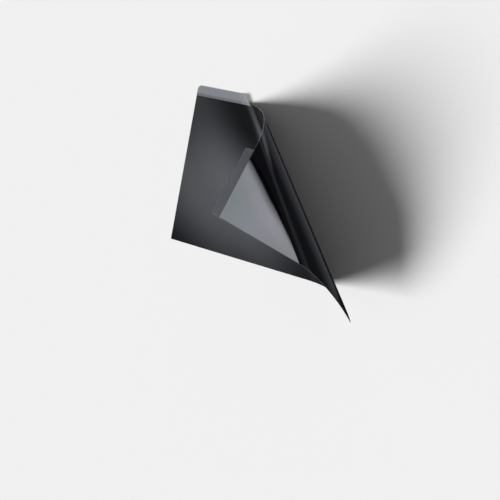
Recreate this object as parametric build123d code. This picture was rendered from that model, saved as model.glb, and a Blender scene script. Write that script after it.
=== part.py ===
from build123d import *
import math
import os

# Laptop privacy filter: one dark film, half peeled, with two clear attachment strips on its top edge.
# All lengths are in mm and all angles in degrees.
# X runs along the film's width, Y up to its top edge and Z out of its front face.
# The origin is on the back face, a quarter of the width in from the left edge, at half the height.

# The film as it is cut
film_width = 354.0
film_height = 199.0
film_thickness = 0.5

# The peel line: where it starts on the top edge, and how far it leans from the upright edges
peel_start = 73.2
peel_angle = 36.9

# The bends fan out from one point, this far above the start of the peel line
fan_distance = 498.0

# Each bend's radius, where it crosses the top edge near the peel line, and how far it turns the film
crease_radius = 30.0
crease_turn = 38.0
sweep_radius = 81.2
sweep_turn = 54.6
lip_radius = 25.0
lip_turn = 23.0
sections_in_bend = 6

# The attachment strips: they lie on the film's front and stand out past its top edge.
# The left strip runs into the first bend and ends along one of its lines, and the right one ends at a slant.
# Both lengths are taken on the film's top edge.
left_strip_length = 90.0
right_strip_length = 112.5
right_strip_slant = 20.0
strip_overhang = 10.0
strip_overlap = 3.0
strip_thickness = 0.25
strip_corner_radius = 4.5

# Edges of the flat film and of the strips
left_x = -film_width / 4
right_x = left_x + film_width
top_y = film_height / 2
bottom_y = -film_height / 2
strip_top_y = top_y + strip_overhang
strip_bottom_y = top_y - strip_overlap

# The peel line and the point that the bends fan out from
peel_top = Vector(left_x + peel_start, top_y)
peel_direction = Vector(math.sin(math.radians(peel_angle)), -math.cos(math.radians(peel_angle)))
fan_point = peel_top - peel_direction * fan_distance

# The bends in turn, and the fan angles at which they end
bends = ((crease_radius, crease_turn), (sweep_radius, sweep_turn), (lip_radius, lip_turn))
bend_ends = []
for radius, turn in bends:
    bend_ends.append(sum(bend_ends[-1:]) + turn * radius / fan_distance)


def fan_ray(angle):
    """Direction of a straight line of the bent film, drawn on the flat film."""
    return peel_direction.rotate(Axis.Z, angle)


def fan_angle(x, y):
    """Angle from the peel line to a point of the flat film, seen from the fan point."""
    turned = math.atan2(y - fan_point.Y, x - fan_point.X) - math.atan2(peel_direction.Y, peel_direction.X)
    return math.degrees(turned)


def film_reach(angle):
    """Distances from the fan point at which a line enters the film at its top and leaves it."""
    ray = fan_ray(angle)
    enters = (top_y - fan_point.Y) / ray.Y
    leaves_bottom = (bottom_y - fan_point.Y) / ray.Y
    leaves_right = (right_x - fan_point.X) / ray.X
    return enters, min(leaves_bottom, leaves_right)


def strip_reach(angle):
    """Distances from the fan point at which a line enters a strip at its top and leaves it."""
    ray = fan_ray(angle)
    return (strip_top_y - fan_point.Y) / ray.Y, (strip_bottom_y - fan_point.Y) / ray.Y


def flat_ends(angle, reach):
    """The two ends of a line, drawn on the flat film."""
    return [fan_point + fan_ray(angle) * distance for distance in reach(angle)]


def bent_directions(angle):
    """Where a line of the bends points once the film is bent, and the front normal beside it.

    Each bend turns the film about the axis of a cone whose tip is the fan point.
    """
    along = peel_direction
    normal = Vector(0, 0, 1)
    bend_start = 0.0
    for (radius, turn), bend_end in zip(bends, bend_ends):
        cone_axis = normal + along * (fan_distance / radius)
        cone = Axis((0, 0, 0), cone_axis)
        spin = (min(angle, bend_end) - bend_start) * cone_axis.length
        along = along.rotate(cone, spin)
        normal = normal.rotate(cone, spin)
        if angle <= bend_end:
            break
        bend_start = bend_end
    return along, normal


def cross_section(angle, reach, under, over):
    """A layer's thin section along one line, between two heights over the film's back face."""
    along, normal = bent_directions(angle)
    start, end = [fan_point + along * distance for distance in reach(angle)]
    return make_face(Polyline(
        start + normal * under, end + normal * under, end + normal * over, start + normal * over, close=True))


def curled_layer(last_angle, reach, under, over):
    """The bent pieces of a layer, from the peel line to the line at the last angle.

    A piece ends where a bend ends and at the film's lower right corner.
    """
    stops = [0.0]
    for stop in sorted([*bend_ends, fan_angle(right_x, bottom_y)]):
        if stops[-1] + 0.05 < stop < last_angle - 0.05:
            stops.append(stop)
    stops.append(last_angle)
    pieces = []
    for first, last in zip(stops, stops[1:]):
        angles = [first + (last - first) * step / (sections_in_bend - 1) for step in range(sections_in_bend)]
        pieces.append(loft([cross_section(angle, reach, under, over) for angle in angles]))
    return pieces


def flat_sheet(*corners):
    """A piece of the flat film with these corners."""
    return extrude(make_face(Polyline(*corners, close=True)), film_thickness)


# The part of the film that still lies flat, and its bends
peel_line = flat_ends(0, film_reach)
privacy_film = flat_sheet(*peel_line, Vector(left_x, bottom_y), Vector(left_x, top_y))
for piece in curled_layer(bend_ends[-1], film_reach, 0, film_thickness):
    privacy_film += piece

# The free corner past the last bend: it is drawn flat and carried to its place
flap_angle = bend_ends[-1]
flap_along, flap_normal = bent_directions(flap_angle)
drawn_flap = Plane(fan_point, fan_ray(flap_angle))
flap_place = Plane(fan_point, flap_along, flap_normal).location * drawn_flap.location.inverse()
flap_corners = flat_ends(flap_angle, film_reach)
if flap_angle < fan_angle(right_x, bottom_y):
    flap_corners.append(Vector(right_x, bottom_y))
flap_corners.append(Vector(right_x, top_y))
privacy_film += flap_place * flat_sheet(*flap_corners)


def flat_strip(outer_x, inner_top, inner_bottom):
    """A flat strip along the top edge to its two inner corners, with its outer free corner rounded."""
    outer_top = Vector(outer_x, strip_top_y)
    outer_bottom = Vector(outer_x, strip_bottom_y)
    outline = make_face(Polyline(inner_bottom, outer_bottom, outer_top, inner_top, close=True))
    rounded = outline.vertices().sort_by_distance(outer_top)[0]
    return Pos(0, 0, film_thickness) * extrude(fillet(rounded, strip_corner_radius), strip_thickness)


# The left strip: flat up to the peel line, and bent with the film from there to its end
left_end_angle = fan_angle(left_x + left_strip_length, top_y)
left_attachment_strip = flat_strip(left_x, *flat_ends(min(left_end_angle, 0), strip_reach))
if left_end_angle > 0:
    for piece in curled_layer(left_end_angle, strip_reach, film_thickness, film_thickness + strip_thickness):
        left_attachment_strip += piece

# The right strip: flat, on the free corner
right_end_x = right_x - right_strip_length
slant = math.tan(math.radians(right_strip_slant))
right_attachment_strip = flap_place * flat_strip(
    right_x,
    Vector(right_end_x + strip_overhang * slant, strip_top_y),
    Vector(right_end_x - strip_overlap * slant, strip_bottom_y),
)

os.makedirs("parts", exist_ok=True)
for name, node in (
    ("privacy_film", privacy_film),
    ("left_attachment_strip", left_attachment_strip),
    ("right_attachment_strip", right_attachment_strip),
):
    export_step(node, f"parts/{name}.step")
    box = node.bounding_box()
    print(name, len(node.solids()), "solid", round(node.volume, 1), "mm3", box.min, box.max)
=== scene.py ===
import math

import bmesh
import bpy
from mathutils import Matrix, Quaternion, Vector


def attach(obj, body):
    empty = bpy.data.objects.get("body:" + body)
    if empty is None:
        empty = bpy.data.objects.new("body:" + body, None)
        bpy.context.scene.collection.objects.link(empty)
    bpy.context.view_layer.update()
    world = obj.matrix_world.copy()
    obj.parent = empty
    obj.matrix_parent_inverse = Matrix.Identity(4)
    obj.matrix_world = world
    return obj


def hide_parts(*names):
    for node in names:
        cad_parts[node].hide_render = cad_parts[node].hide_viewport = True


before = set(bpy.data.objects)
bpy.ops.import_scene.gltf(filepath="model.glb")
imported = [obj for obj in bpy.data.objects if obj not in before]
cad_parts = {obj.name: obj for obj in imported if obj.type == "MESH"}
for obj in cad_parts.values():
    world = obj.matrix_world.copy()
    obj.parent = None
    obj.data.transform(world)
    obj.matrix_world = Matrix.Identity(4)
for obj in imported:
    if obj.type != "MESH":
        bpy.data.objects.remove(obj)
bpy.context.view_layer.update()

# Sizes of the filter, in metres and degrees, as in the part's source
FILM_WIDTH = 0.354
FILM_HEIGHT = 0.199
FILM_THICKNESS = 0.0005
PEEL_START = 0.0732
PEEL_ANGLE = 36.9
FAN_DISTANCE = 0.498
BENDS = ((0.030, 38.0), (0.0812, 54.6), (0.025, 23.0))
LEFT_STRIP_LENGTH = 0.090
RIGHT_STRIP_LENGTH = 0.1125
RIGHT_STRIP_SLANT = 20.0
STRIP_OVERHANG = 0.010
STRIP_OVERLAP = 0.003
STRIP_THICKNESS = 0.00025
STRIP_CORNER_RADIUS = 0.0045

LEFT_X = -FILM_WIDTH / 4
RIGHT_X = LEFT_X + FILM_WIDTH
TOP_Y = FILM_HEIGHT / 2
BOTTOM_Y = -FILM_HEIGHT / 2
STRIP_TOP_Y = TOP_Y + STRIP_OVERHANG
STRIP_BOTTOM_Y = TOP_Y - STRIP_OVERLAP
UP = Vector((0, 0, 1))
PEEL_DIRECTION = Vector((math.sin(math.radians(PEEL_ANGLE)), -math.cos(math.radians(PEEL_ANGLE)), 0))
FAN_POINT = Vector((LEFT_X + PEEL_START, TOP_Y, 0)) - PEEL_DIRECTION * FAN_DISTANCE

# Fan angles in radians between the film mesh's lines: where it is flat, in the crease and in the roll
FLAT_SPACING = 0.006
CREASE_SPACING = 0.001
ROLL_SPACING = 0.0016

# Rows of faces along those lines and across a strip, and steps round a strip's corner and along it
FILM_ROWS = 40
STRIP_ROWS = 6
STRIP_CORNER_STEPS = 8
STRIP_BODY_STEPS = 60

# Points that are nearer to each other than this are one
MERGE_DISTANCE = 1e-7

# A point that is nearer to the film's top edge than this is on it
EDGE_DISTANCE = 1e-6

# Places of the finishes on the film and on a strip
FRONT, BACK, TOP_EDGE, CUT_EDGE = range(4)
CLEAR, STRIP_EDGE = range(2)

# Height of the cards that lie over the floor, enough to clear the flat film
CARD_HEIGHT = 0.002


# How the film bends

def fan_ray(angle):
    """Direction of a straight line of the bent film, drawn on the flat film."""
    return Quaternion(UP, angle) @ PEEL_DIRECTION


def fan_angle(x, y):
    """Angle in radians from the peel line to a point of the flat film."""
    away = Vector((x, y, 0)) - FAN_POINT
    return math.atan2(away.y, away.x) - math.atan2(PEEL_DIRECTION.y, PEEL_DIRECTION.x)


def bend_ends():
    """Fan angles at which each bend ends."""
    ends = []
    angle = 0.0
    for radius, turn in BENDS:
        angle += math.radians(turn) * radius / FAN_DISTANCE
        ends.append(angle)
    return ends


BEND_ENDS = bend_ends()


def bent_directions(angle):
    """Where a line of the film points once the film is bent, and the front normal beside it.

    Each bend turns the film about the axis of a cone whose tip is the fan point.
    """
    along = PEEL_DIRECTION
    normal = UP
    start = 0.0
    for (radius, _), end in zip(BENDS, BEND_ENDS):
        if angle <= start:
            break
        cone_axis = normal + along * (FAN_DISTANCE / radius)
        spin = Quaternion(cone_axis.normalized(), (min(angle, end) - start) * cone_axis.length)
        along = spin @ along
        normal = spin @ normal
        start = end
    on_flat = min(angle, 0.0) + max(angle - BEND_ENDS[-1], 0.0)
    return Quaternion(normal, on_flat) @ along, normal


def lay_on_film(x, y, height):
    """Carries a point drawn on the flat film, at a height over its back face, to its place once bent."""
    reach = (Vector((x, y, 0)) - FAN_POINT).length
    along, normal = bent_directions(fan_angle(x, y))
    return FAN_POINT + along * reach + normal * height


def add_face(mesh, corners, finish, flat_place):
    """A smooth face with a finish, which keeps where its corners are on the flat film."""
    sheet_uv = mesh.loops.layers.uv["Sheet"]
    made = mesh.faces.new(corners)
    made.material_index = finish
    made.smooth = True
    for loop in made.loops:
        loop[sheet_uv].uv = flat_place[loop.vert]


def mesh_piece(name, mesh, finishes):
    """Makes an object of a mesh, with its finishes in order and sharp edges between them."""
    bmesh.ops.recalc_face_normals(mesh, faces=mesh.faces)
    for line in mesh.edges:
        line.smooth = len({face.material_index for face in line.link_faces}) == 1
    data = bpy.data.meshes.new(name)
    mesh.to_mesh(data)
    mesh.free()
    for finish in finishes:
        data.materials.append(finish)
    piece = bpy.data.objects.new(name, data)
    bpy.context.collection.objects.link(piece)
    return piece


# The curled film

def line_span(angle):
    """Distances from the fan point at which a line enters and leaves the film."""
    ray = fan_ray(angle)
    across = sorted(((LEFT_X - FAN_POINT.x) / ray.x, (RIGHT_X - FAN_POINT.x) / ray.x))
    down = sorted(((TOP_Y - FAN_POINT.y) / ray.y, (BOTTOM_Y - FAN_POINT.y) / ray.y))
    enters = max(across[0], down[0])
    return enters, max(enters, min(across[1], down[1]))


def film_line_angles():
    """Fan angles of the mesh's straight lines, closer together in the bends."""
    crease_end, sweep_end, lip_end = BEND_ENDS
    corners = [fan_angle(x, y) for x in (LEFT_X, RIGHT_X) for y in (BOTTOM_Y, TOP_Y)]
    stops = sorted([0.0, crease_end, sweep_end, lip_end, *corners])
    angles = []
    for first, last in zip(stops, stops[1:]):
        spacing = FLAT_SPACING
        if first >= 0 and last <= crease_end:
            spacing = CREASE_SPACING
        elif first >= crease_end and last <= lip_end:
            spacing = ROLL_SPACING
        steps = max(1, math.ceil((last - first) / spacing))
        angles += [first + (last - first) * i / steps for i in range(steps)]
    return angles + [stops[-1]]


def make_film(front, back, top_edge, cut_edge):
    """The film as one thin closed sheet.

    It has a finish for its front, its back, its top edge and its other edges. The top edge's finish is
    painted lighter, as if lit from above, and the other edges' finish is painted darker, as painted
    shade.
    """
    mesh = bmesh.new()
    mesh.loops.layers.uv.new("Sheet")
    flat_place = {}
    columns = []
    for angle in film_line_angles():
        enters, leaves = line_span(angle)
        along, normal = bent_directions(angle)
        column = []
        for row in range(FILM_ROWS + 1):
            reach = enters + (leaves - enters) * row / FILM_ROWS
            spot = FAN_POINT + along * reach
            under = mesh.verts.new(spot)
            over = mesh.verts.new(spot + normal * FILM_THICKNESS)
            drawn = FAN_POINT + fan_ray(angle) * reach
            flat_place[under] = (drawn.x - LEFT_X, drawn.y - BOTTOM_Y)
            flat_place[over] = flat_place[under]
            column.append((under, over))
        columns.append(column)

    for left, right in zip(columns, columns[1:]):
        for near_left, far_left, far_right, near_right in zip(left, left[1:], right[1:], right):
            front_corners = (near_left, far_left, far_right, near_right)
            back_corners = (near_left, near_right, far_right, far_left)
            add_face(mesh, [over for under, over in front_corners], FRONT, flat_place)
            add_face(mesh, [under for under, over in back_corners], BACK, flat_place)
        start_height = min(flat_place[left[0][0]][1], flat_place[right[0][0]][1])
        start_finish = TOP_EDGE if start_height >= FILM_HEIGHT - EDGE_DISTANCE else CUT_EDGE
        add_face(mesh, (*left[0], *reversed(right[0])), start_finish, flat_place)
        add_face(mesh, (*right[-1], *reversed(left[-1])), CUT_EDGE, flat_place)
    bmesh.ops.remove_doubles(mesh, verts=mesh.verts, dist=MERGE_DISTANCE)
    bmesh.ops.dissolve_degenerate(mesh, edges=mesh.edges, dist=MERGE_DISTANCE)
    return mesh_piece("curled_film", mesh, (front, back, top_edge, cut_edge))


# The clear strips

def strip_columns(outer_x, inner_low_x, inner_high_x):
    """Ends of the strip's cross lines on its low and high edge.

    They run from its outer end, with its rounded corner, to its inner end.
    """
    way = 1 if inner_low_x > outer_x else -1
    columns = []
    for step in range(STRIP_CORNER_STEPS):
        turn = math.radians(90 * step / STRIP_CORNER_STEPS)
        x = outer_x + way * STRIP_CORNER_RADIUS * (1 - math.cos(turn))
        high = STRIP_TOP_Y - STRIP_CORNER_RADIUS * (1 - math.sin(turn))
        columns.append(((x, STRIP_BOTTOM_Y), (x, high)))
    body_x = outer_x + way * STRIP_CORNER_RADIUS
    for step in range(STRIP_BODY_STEPS + 1):
        part = step / STRIP_BODY_STEPS
        low_x = body_x + (inner_low_x - body_x) * part
        high_x = body_x + (inner_high_x - body_x) * part
        columns.append(((low_x, STRIP_BOTTOM_Y), (high_x, STRIP_TOP_Y)))
    return columns


def make_strip(name, outer_x, inner_low_x, inner_high_x, clear, edge):
    """A thin clear strip on the film's front, which bends with it where it reaches a bend."""
    mesh = bmesh.new()
    mesh.loops.layers.uv.new("Sheet")
    flat_place = {}
    columns = []
    for (low_x, low_y), (high_x, high_y) in strip_columns(outer_x, inner_low_x, inner_high_x):
        column = []
        for row in range(STRIP_ROWS + 1):
            x = low_x + (high_x - low_x) * row / STRIP_ROWS
            y = low_y + (high_y - low_y) * row / STRIP_ROWS
            under = mesh.verts.new(lay_on_film(x, y, FILM_THICKNESS))
            over = mesh.verts.new(lay_on_film(x, y, FILM_THICKNESS + STRIP_THICKNESS))
            flat_place[under] = (x - LEFT_X, y - BOTTOM_Y)
            flat_place[over] = flat_place[under]
            column.append((under, over))
        columns.append(column)

    for left, right in zip(columns, columns[1:]):
        for low_left, high_left, high_right, low_right in zip(left, left[1:], right[1:], right):
            upper_corners = (low_left, low_right, high_right, high_left)
            lower_corners = (low_left, high_left, high_right, low_right)
            add_face(mesh, [over for under, over in upper_corners], CLEAR, flat_place)
            add_face(mesh, [under for under, over in lower_corners], CLEAR, flat_place)
        add_face(mesh, (left[0][0], right[0][0], right[0][1], left[0][1]), STRIP_EDGE, flat_place)
        add_face(mesh, (*left[-1], *reversed(right[-1])), STRIP_EDGE, flat_place)
    for column in (columns[0], columns[-1]):
        for lower, higher in zip(column, column[1:]):
            add_face(mesh, (*lower, *reversed(higher)), STRIP_EDGE, flat_place)
    return mesh_piece(name, mesh, (clear, edge))


# Finishes

def add_node(tree, kind, **inputs):
    """Adds a node and sets its inputs by name, with underscores for spaces."""
    made = tree.nodes.new(kind)
    for name, value in inputs.items():
        made.inputs[name.replace("_", " ")].default_value = value
    return made


def sheet_place(tree):
    """Place on the flat film, in metres."""
    made = tree.nodes.new("ShaderNodeUVMap")
    made.uv_map = "Sheet"
    return made.outputs["UV"]


def new_group(name, inputs, outputs):
    """An empty node group with named values going in and out, and its two end nodes."""
    group = bpy.data.node_groups.new(name, "ShaderNodeTree")
    for socket in inputs:
        group.interface.new_socket(socket, in_out="INPUT", socket_type="NodeSocketFloat")
    for socket in outputs:
        group.interface.new_socket(socket, in_out="OUTPUT", socket_type="NodeSocketFloat")
    return group, group.nodes.new("NodeGroupInput"), group.nodes.new("NodeGroupOutput")


def make_fine_grain():
    """Fine even grain of a satin or frosted plastic, as a height."""
    group, given, result = new_group("fine_grain", ("Grains per metre",), ("Height",))
    grain = add_node(group, "ShaderNodeTexNoise", Detail=2.0, Roughness=0.55)
    group.links.new(sheet_place(group), grain.inputs["Vector"])
    group.links.new(given.outputs["Grains per metre"], grain.inputs["Scale"])
    group.links.new(grain.outputs["Fac"], result.inputs["Height"])
    return group


def make_handling_marks():
    """Faint smeared patches left by hands, from 0 on clean film to 1."""
    group, given, result = new_group("handling_marks", ("Marks per metre", "Clean share"), ("Smudge",))
    patches = add_node(group, "ShaderNodeTexNoise", Detail=4.0, Roughness=0.6, Distortion=0.7)
    cut = add_node(group, "ShaderNodeMapRange", From_Max=0.85)
    cut.interpolation_type = "SMOOTHSTEP"
    group.links.new(sheet_place(group), patches.inputs["Vector"])
    group.links.new(given.outputs["Marks per metre"], patches.inputs["Scale"])
    group.links.new(patches.outputs["Fac"], cut.inputs["Value"])
    group.links.new(given.outputs["Clean share"], cut.inputs["From Min"])
    group.links.new(cut.outputs["Result"], result.inputs["Smudge"])
    return group


FINE_GRAIN = make_fine_grain()
HANDLING_MARKS = make_handling_marks()


def new_finish(name):
    """An empty node material, its node tree and its Principled shader."""
    material = bpy.data.materials.new(name)
    material.use_nodes = True
    return material, material.node_tree, material.node_tree.nodes["Principled BSDF"]


def use_group(tree, group, **inputs):
    """Places a node group in a material with its own values, and gives back its output."""
    made = tree.nodes.new("ShaderNodeGroup")
    made.node_tree = group
    for name, value in inputs.items():
        made.inputs[name.replace("_", " ")].default_value = value
    return made.outputs[0]


def spread_value(tree, mask, low, high):
    """Turns a mask from 0 to 1 into a value from low to high."""
    made = add_node(tree, "ShaderNodeMapRange", To_Min=low, To_Max=high)
    tree.links.new(mask, made.inputs["Value"])
    return made.outputs["Result"]


def blend_colour(tree, mask, first, second):
    """Goes from the first colour to the second with a mask."""
    made = tree.nodes.new("ShaderNodeMix")
    made.data_type = "RGBA"
    sockets = [s for s in made.inputs if s.type == "RGBA"]
    sockets[0].default_value = (*first, 1)
    sockets[1].default_value = (*second, 1)
    tree.links.new(mask, made.inputs["Factor"])
    return [s for s in made.outputs if s.type == "RGBA"][0]


def add_bump(tree, shader, height, depth):
    """Raises and lowers the surface by a height map of this depth, in metres."""
    made = add_node(tree, "ShaderNodeBump", Strength=1.0, Distance=depth)
    tree.links.new(height, made.inputs["Height"])
    tree.links.new(made.outputs["Normal"], shader.inputs["Normal"])


def film_front():
    """Satin black front: fine grain, and hand marks that are a little less sharp."""
    material, tree, shader = new_finish("film_front_satin")
    marks = use_group(tree, HANDLING_MARKS, Marks_per_metre=21.0, Clean_share=0.45)
    grain = use_group(tree, FINE_GRAIN, Grains_per_metre=2400.0)
    colour = blend_colour(tree, marks, (0.0034, 0.0035, 0.0043), (0.0046, 0.0047, 0.0055))
    tree.links.new(colour, shader.inputs["Base Color"])
    tree.links.new(spread_value(tree, marks, low=0.11, high=0.15), shader.inputs["Roughness"])
    shader.inputs["Specular IOR Level"].default_value = 0.55
    shader.inputs["Specular Tint"].default_value = (0.87, 0.90, 1.0, 1)
    add_bump(tree, shader, grain, depth=0.000006)
    return material


def film_back():
    """Glossy black back: it mirrors clearly, in slow waves, with hand marks that dull it a little."""
    material, tree, shader = new_finish("film_back_gloss")
    marks = use_group(tree, HANDLING_MARKS, Marks_per_metre=26.0, Clean_share=0.5)
    waves = use_group(tree, FINE_GRAIN, Grains_per_metre=13.0)
    colour = blend_colour(tree, marks, (0.0022, 0.0023, 0.0028), (0.0034, 0.0035, 0.004))
    tree.links.new(colour, shader.inputs["Base Color"])
    tree.links.new(spread_value(tree, marks, low=0.03, high=0.055), shader.inputs["Roughness"])
    shader.inputs["Specular IOR Level"].default_value = 0.5
    shader.inputs["Specular Tint"].default_value = (0.90, 0.93, 1.0, 1)
    add_bump(tree, shader, waves, depth=0.00006)
    return material


def film_edge(name, darker, paler):
    """Cut edge of the film, with short marks from the blade. Its overall lightness is given per edge as
    painted light and shade: pale on the top edge, dark on the others.
    """
    material, tree, shader = new_finish(name)
    grain = use_group(tree, FINE_GRAIN, Grains_per_metre=700.0)
    tree.links.new(blend_colour(tree, grain, darker, paler), shader.inputs["Base Color"])
    tree.links.new(spread_value(tree, grain, low=0.32, high=0.48), shader.inputs["Roughness"])
    add_bump(tree, shader, grain, depth=0.00002)
    return material


def strip_clear():
    """Clear strip with a faint frost, more blue towards its free edge, and mottled by its adhesive."""
    material, tree, shader = new_finish("strip_clear")
    place = tree.nodes.new("ShaderNodeSeparateXYZ")
    tree.links.new(sheet_place(tree), place.inputs[0])
    outwards = add_node(tree, "ShaderNodeMapRange", From_Min=FILM_HEIGHT)
    outwards.inputs["From Max"].default_value = FILM_HEIGHT + STRIP_OVERHANG
    tree.links.new(place.outputs["Y"], outwards.inputs["Value"])
    colour = blend_colour(tree, outwards.outputs["Result"], (0.280, 0.287, 0.306), (0.262, 0.286, 0.336))
    mottle = use_group(tree, HANDLING_MARKS, Marks_per_metre=170.0, Clean_share=0.3)
    grain = use_group(tree, FINE_GRAIN, Grains_per_metre=1500.0)
    tree.links.new(colour, shader.inputs["Base Color"])
    tree.links.new(spread_value(tree, mottle, low=0.40, high=0.48), shader.inputs["Roughness"])
    tree.links.new(spread_value(tree, mottle, low=0.53, high=0.57), shader.inputs["Alpha"])
    shader.inputs["Specular IOR Level"].default_value = 0.1
    add_bump(tree, shader, grain, depth=0.000002)
    return material


def strip_edge():
    """Cut edge of a strip, painted a pale grey as a painted highlight for the light that the clear sheet
    gathers there.
    """
    material, tree, shader = new_finish("strip_cut_edge_painted_highlight")
    grain = use_group(tree, FINE_GRAIN, Grains_per_metre=700.0)
    # Painted highlight: this pale grey stands in for the light gathered at the strip's edge.
    colour = blend_colour(tree, grain, (0.24, 0.25, 0.27), (0.36, 0.37, 0.39))
    tree.links.new(colour, shader.inputs["Base Color"])
    tree.links.new(spread_value(tree, grain, low=0.3, high=0.42), shader.inputs["Roughness"])
    return material


# The two edge finishes are one cut edge in painted light and shade: the top edge is painted pale as if
# lit from above, and the other edges are painted dark.
film = make_film(
    film_front(),
    film_back(),
    film_edge("film_top_edge_painted_light", (0.40, 0.41, 0.44), (0.58, 0.59, 0.62)),
    film_edge("film_cut_edge_painted_shade", (0.05, 0.052, 0.058), (0.08, 0.082, 0.09)),
)
clear_finish = strip_clear()
painted_highlight_edge = strip_edge()

# The left strip ends along a line of the first bend, and the right one at a slant
left_end_x = LEFT_X + LEFT_STRIP_LENGTH
left_end_ray = fan_ray(fan_angle(left_end_x, TOP_Y))
left_lean = left_end_ray.x / left_end_ray.y
right_end_x = RIGHT_X - RIGHT_STRIP_LENGTH
right_lean = math.tan(math.radians(RIGHT_STRIP_SLANT))
left_strip = make_strip(
    "left_strip",
    LEFT_X,
    left_end_x - STRIP_OVERLAP * left_lean,
    left_end_x + STRIP_OVERHANG * left_lean,
    clear_finish,
    painted_highlight_edge,
)
right_strip = make_strip(
    "right_strip",
    RIGHT_X,
    right_end_x - STRIP_OVERLAP * right_lean,
    right_end_x + STRIP_OVERHANG * right_lean,
    clear_finish,
    painted_highlight_edge,
)

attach(film, "root")
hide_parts("privacy_film")
for strip, node in ((left_strip, "left_attachment_strip"), (right_strip, "right_attachment_strip")):
    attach(strip, "root")
    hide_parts(node)


# Floor, light and camera

def make_floor():
    """A wide pale floor, a hair lower than the film's back so that the two don't share a plane."""
    reach = 6.0
    gap = 0.0002
    data = bpy.data.meshes.new("floor")
    corners = [(-reach, -reach, 0), (reach, -reach, 0), (reach, reach, 0), (-reach, reach, 0)]
    data.from_pydata(corners, [], [(0, 1, 2, 3)])
    floor = bpy.data.objects.new("floor", data)
    bpy.context.collection.objects.link(floor)
    floor.location.z = -gap
    material, _, shader = new_finish("pale_floor")
    shader.inputs["Base Color"].default_value = (0.88, 0.88, 0.88, 1)
    shader.inputs["Roughness"].default_value = 0.9
    shader.inputs["Specular IOR Level"].default_value = 0.0
    data.materials.append(material)


def reflection_card(name, corners, faces):
    """A card that is seen only in gloss, and neither by the camera nor as light on anything else."""
    data = bpy.data.meshes.new(name)
    data.from_pydata(corners, [], faces)
    card = bpy.data.objects.new(name, data)
    bpy.context.collection.objects.link(card)
    card.visible_camera = False
    card.visible_diffuse = False
    card.visible_transmission = False
    card.visible_shadow = False
    return card


def new_glow(card):
    """Gives a card a material of its own, with no shader yet, and gives back its node tree."""
    material = bpy.data.materials.new(card.name)
    material.use_nodes = True
    tree = material.node_tree
    tree.nodes.remove(tree.nodes["Principled BSDF"])
    card.data.materials.append(material)
    return tree


def show_sides(tree, front, back):
    """Shows one shader on a card's front and another on its back."""
    side = tree.nodes.new("ShaderNodeNewGeometry")
    both_sides = tree.nodes.new("ShaderNodeMixShader")
    tree.links.new(side.outputs["Backfacing"], both_sides.inputs[0])
    tree.links.new(front.outputs[0], both_sides.inputs[1])
    tree.links.new(back.outputs[0], both_sides.inputs[2])
    tree.links.new(both_sides.outputs[0], tree.nodes["Material Output"].inputs["Surface"])


def glow_card(name, centre, across, along, width, length, strength, even=0.0):
    """A soft glow on one side of a clear card, brightest in its middle and gone at its edges.

    The share of its reach that is called even has the full strength.
    """
    across = Vector(across).normalized() * (width / 2)
    along = Vector(along).normalized() * (length / 2)
    middle = Vector(centre)
    places = ((-1, -1), (-1, 1), (1, 1), (1, -1))
    corners = [middle + across * a + along * b for a, b in places]
    card = reflection_card(name, corners, [(0, 1, 2, 3)])
    card_uv = card.data.uv_layers.new(name="Card")
    for spot, place in zip(card_uv.data, places):
        spot.uv = place
    tree = new_glow(card)
    card_place = tree.nodes.new("ShaderNodeUVMap")
    off_centre = tree.nodes.new("ShaderNodeVectorMath")
    off_centre.operation = "LENGTH"
    fade = add_node(tree, "ShaderNodeMapRange", From_Min=even, To_Min=strength, To_Max=0.0)
    fade.interpolation_type = "SMOOTHSTEP"
    glow = tree.nodes.new("ShaderNodeEmission")
    clear = tree.nodes.new("ShaderNodeBsdfTransparent")
    lit_side = tree.nodes.new("ShaderNodeAddShader")
    tree.links.new(card_place.outputs["UV"], off_centre.inputs[0])
    tree.links.new(off_centre.outputs["Value"], fade.inputs["Value"])
    tree.links.new(fade.outputs["Result"], glow.inputs["Strength"])
    tree.links.new(glow.outputs[0], lit_side.inputs[0])
    tree.links.new(clear.outputs[0], lit_side.inputs[1])
    show_sides(tree, lit_side, clear)


def cover_card(name, corners, strength):
    """A dim even card just over the floor that hides what is under it, and is clear from below."""
    places = [(x, y, CARD_HEIGHT) for x, y in corners]
    card = reflection_card(name, places, [tuple(range(len(places)))])
    tree = new_glow(card)
    glow = add_node(tree, "ShaderNodeEmission", Strength=strength)
    clear = tree.nodes.new("ShaderNodeBsdfTransparent")
    show_sides(tree, glow, clear)


def colour_ramp(tree, value, stops):
    """Colours at given shares of a value, blended from one to the next."""
    ramp = tree.nodes.new("ShaderNodeValToRGB")
    while len(ramp.color_ramp.elements) < len(stops):
        ramp.color_ramp.elements.new(0.5)
    while len(ramp.color_ramp.elements) > len(stops):
        ramp.color_ramp.elements.remove(ramp.color_ramp.elements[0])
    for element, (share, colour) in zip(ramp.color_ramp.elements, stops):
        element.position = share
        element.color = (*colour, 1)
    tree.links.new(value, ramp.inputs["Fac"])
    return ramp.outputs["Color"]


def band_glow(card, bands, tints, lifts, strength):
    """Makes a card glow in bands of colour up its height, tinted and lifted along its length."""
    tree = new_glow(card)
    card_place = tree.nodes.new("ShaderNodeUVMap")
    split = tree.nodes.new("ShaderNodeSeparateXYZ")
    lowered = tree.nodes.new("ShaderNodeMath")
    lowered.operation = "SUBTRACT"
    tinted = tree.nodes.new("ShaderNodeVectorMath")
    tinted.operation = "MULTIPLY"
    glow = add_node(tree, "ShaderNodeEmission", Strength=strength)
    tree.links.new(card_place.outputs["UV"], split.inputs[0])
    tree.links.new(split.outputs["Y"], lowered.inputs[0])
    tree.links.new(colour_ramp(tree, split.outputs["X"], lifts), lowered.inputs[1])
    tree.links.new(colour_ramp(tree, lowered.outputs["Value"], bands), tinted.inputs[0])
    tree.links.new(colour_ramp(tree, split.outputs["X"], tints), tinted.inputs[1])
    tree.links.new(tinted.outputs["Vector"], glow.inputs["Color"])
    tree.links.new(glow.outputs[0], tree.nodes["Material Output"].inputs["Surface"])


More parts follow.
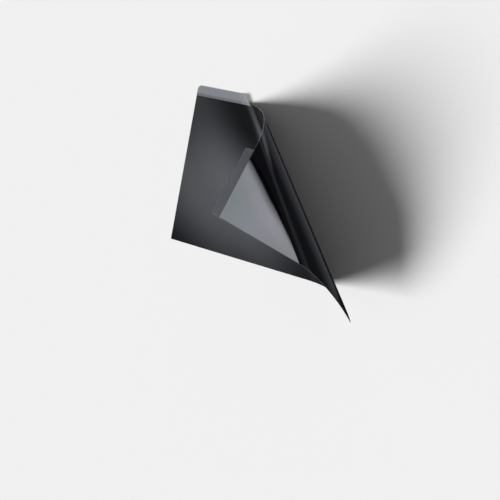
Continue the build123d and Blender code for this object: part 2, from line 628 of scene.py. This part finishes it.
def floor_bands(name, lines, tints):
    """A card over the floor that glows faintly in soft bands, given as lines with a brightness each.

    The tints are its colours at given shares of the way along the lines.
    """
    count = len(lines)
    upper = [(*first, CARD_HEIGHT) for first, last, brightness in lines]
    lower = [(*last, CARD_HEIGHT) for first, last, brightness in lines]
    faces = [(i, count + i, count + i + 1, i + 1) for i in range(count - 1)]
    card = reflection_card(name, upper + lower, faces)
    card_uv = card.data.uv_layers.new(name="Card")
    for loop, spot in zip(card.data.loops, card_uv.data):
        end, line = divmod(loop.vertex_index, count)
        spot.uv = (end, line / (count - 1))
    bands = [(i / (count - 1), (brightness,) * 3) for i, (first, last, brightness) in enumerate(lines)]
    no_lifts = ((0.0, (0.0, 0.0, 0.0)),)
    band_glow(card, bands, tints, no_lifts, strength=1.0)


def panel_card(name, first, last, outline, bands, tints, lifts, strength):
    """An upright glowing panel over a line, with bands of colour by height and tints along it.

    The outline gives its corners as a share of the line and a height over it.
    The lifts say by how much the bands rise at some shares of the line.
    """
    top = max(rise for share, rise in outline)
    corners = [first + (last - first) * share + UP * rise for share, rise in outline]
    card = reflection_card(name, corners, [tuple(range(len(outline)))])
    card_uv = card.data.uv_layers.new(name="Card")
    for spot, (share, rise) in zip(card_uv.data, outline):
        spot.uv = (share, rise / top)
    bands = [(height / top, colour) for height, colour in bands]
    lifts = [(share, (lift / top,) * 3) for share, lift in lifts]
    band_glow(card, bands, tints, lifts, strength)


make_floor()
world = bpy.data.worlds.new("studio")
bpy.context.scene.world = world
world.use_nodes = True
world.node_tree.nodes["Background"].inputs["Color"].default_value = (1, 1, 1, 1)
world.node_tree.nodes["Background"].inputs["Strength"].default_value = 0.15
key_light = bpy.data.lights.new("key", "SUN")
key_light.energy = 4.0
key_light.angle = math.radians(34)
key = bpy.data.objects.new("key", key_light)
bpy.context.collection.objects.link(key)
key_direction = Vector((0.48, 0.68, -0.74))
key.rotation_mode = "QUATERNION"
key.rotation_quaternion = key_direction.to_track_quat("-Z", "Y")

# Soft glows that the satin front mirrors: two low over the flat film, and one far off to its left
glow_card(
    "front_sheen",
    centre=(-0.049, -0.0325, 0.040),
    across=(0.369, 0.929, 0),
    along=(-0.929, 0.369, 0),
    width=0.199,
    length=0.375,
    strength=1.80,
    even=0.145,
)
glow_card(
    "front_streak",
    centre=(-0.117, 0.085, 0.043),
    across=(0.741, 0.671, 0),
    along=(-0.671, 0.741, 0),
    width=0.106,
    length=0.80,
    strength=0.67,
)
glow_card(
    "crease_sheen",
    centre=(-0.95, -0.21, 0.052),
    across=(0.294, -0.956, 0),
    along=(0.05, 0.02, 0.99),
    width=1.8,
    length=0.40,
    strength=0.54,
)

# A dim cover over the flat film, the start of its crease and the floor to their left.
# The part of the front that looks down on them mirrors it.
cover_card(
    "flat_cover",
    corners=((-0.0104, 0.1122), (0.0, 0.9), (-1.5, 0.9), (-1.5, -0.9), (0.1396, -0.0928)),
    strength=0.075,
)

# What the glossy back mirrors: a panel that the free corner faces,
# soft bands on the floor beside the roll, and a small glow by the roll's top end.
panel_card(
    "flap_panel",
    first=Vector((0.158, 0.470, 0.0394)),
    last=Vector((0.438, 0.238, 0.0239)),
    outline=(
        (0.26, 0.0),
        (1.0, 0.0),
        (1.0, 0.2),
        (0.65, 0.2),
        (0.59, 0.169),
        (0.423, 0.083),
        (0.277, 0.007),
    ),
    bands=(
        (0.0050, (0.0, 0.0, 0.0)),
        (0.0058, (0.38, 0.36, 0.39)),
        (0.0085, (0.58, 0.55, 0.59)),
        (0.0112, (0.82, 0.78, 0.82)),
        (0.0140, (1.03, 0.99, 1.03)),
        (0.0165, (1.14, 1.09, 1.13)),
        (0.0270, (1.13, 1.08, 1.12)),
        (0.0360, (1.03, 1.01, 1.03)),
        (0.0500, (0.98, 1.0, 1.0)),
        (0.1000, (0.93, 0.97, 0.96)),
    ),
    tints=(
        (0.30, (0.85, 0.88, 0.88)),
        (0.40, (0.86, 0.93, 0.92)),
        (0.45, (0.91, 0.96, 0.96)),
        (0.56, (1.02, 1.02, 1.07)),
        (0.68, (0.92, 0.95, 0.92)),
        (0.75, (0.85, 0.87, 0.85)),
    ),
    lifts=((0.28, 0.0), (0.38, 0.003), (0.475, 0.006), (0.57, 0.006), (0.66, 0.005), (0.76, 0.0)),
    strength=5.6,
)
floor_bands(
    "roll_floor",
    lines=(
        ((0.035, 0.076), (0.208, -0.136), 0.015),
        ((0.0466, 0.0862), (0.2286, -0.1208), 0.015),
        ((0.0516, 0.0902), (0.2356, -0.1138), 0.150),
        ((0.070, 0.116), (0.251, -0.108), 0.130),
        ((0.085, 0.130), (0.262, -0.080), 0.050),
        ((0.087, 0.134), (0.290, -0.030), 0.050),
        ((0.099, 0.148), (0.322, 0.036), 0.290),
        ((0.128, 0.201), (0.394, 0.184), 0.075),
        ((0.200, 1.100), (0.950, 0.900), 0.085),
    ),
    tints=((0.0, (0.96, 0.98, 1.14)), (0.82, (0.96, 0.98, 1.14)), (0.88, (0.31, 0.31, 0.36))),
)
glow_card(
    "roll_glow",
    centre=(0.099, 0.111, 0.004),
    across=(0.18, 0.98, 0),
    along=(0.98, -0.18, 0),
    width=0.034,
    length=0.115,
    strength=0.52,
)

camera_data = bpy.data.cameras.new("camera")
camera_data.sensor_width = 36
camera_data.lens = 75.9
camera = bpy.data.objects.new("camera", camera_data)
bpy.context.collection.objects.link(camera)
camera.location = (0.7885, 0.1134, 1.1144)
camera.rotation_euler = [math.radians(a) for a in (-0.962, 34.721, 13.099)]
bpy.context.scene.camera = camera
bpy.context.scene.view_settings.view_transform = "Standard"
